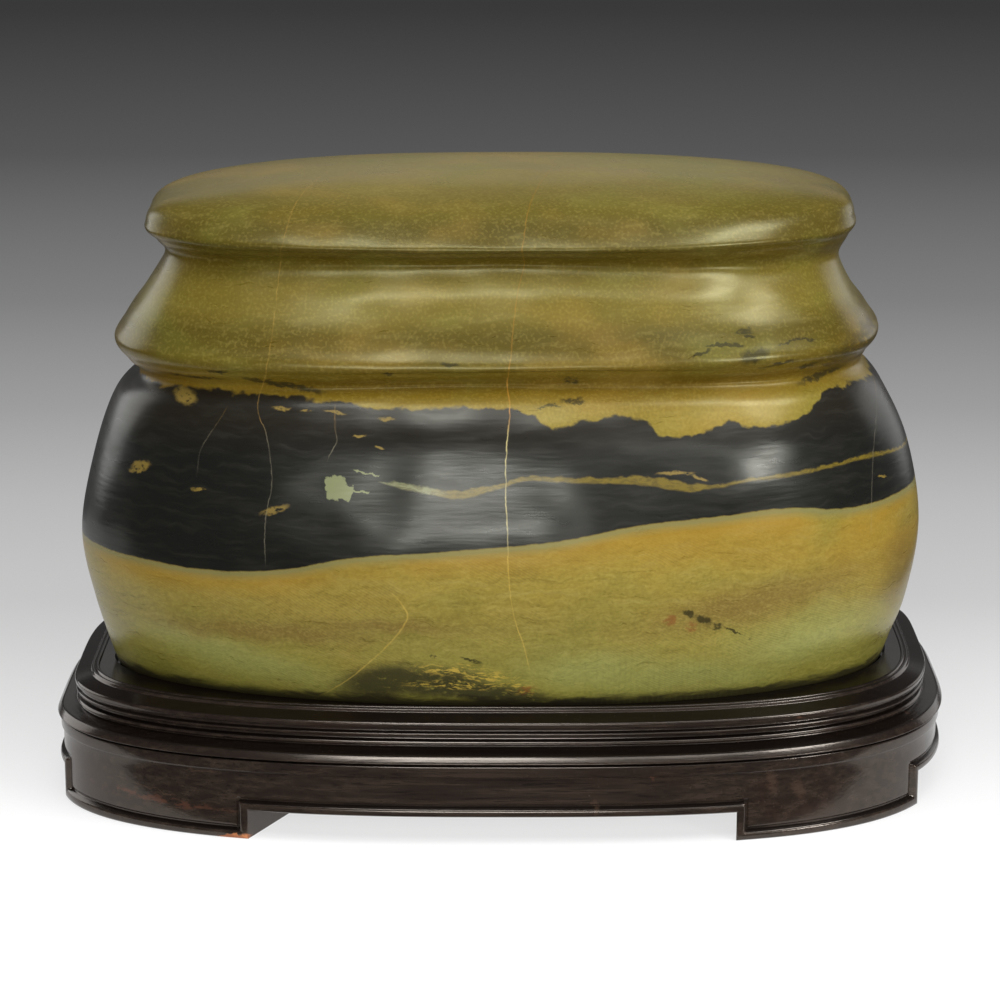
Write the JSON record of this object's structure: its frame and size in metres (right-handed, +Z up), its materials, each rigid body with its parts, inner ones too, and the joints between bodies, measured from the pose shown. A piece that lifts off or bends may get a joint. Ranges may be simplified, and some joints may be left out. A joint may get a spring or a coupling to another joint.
{
  "type": "viewing stone on stand",
  "caption": "Polished banded natural viewing stone with worn ledges and grooves, resting in a low carved hardwood stand with stepped mouldings and corner feet.",
  "frame": {"origin": "middle of the bounding box on the plane of the stand's feet", "axes": "+X to the right along the stand's length as seen from the front, +Y towards the back, +Z up"},
  "size_m": [0.464, 0.24, 0.32],
  "materials": {
    "stone": "polished, banded olive, black and ochre",
    "stand": "dark gloss lacquer"
  },
  "bodies": {
    "root": {"stone": "stone", "stand": "stand"}
  },
  "joints": []
}
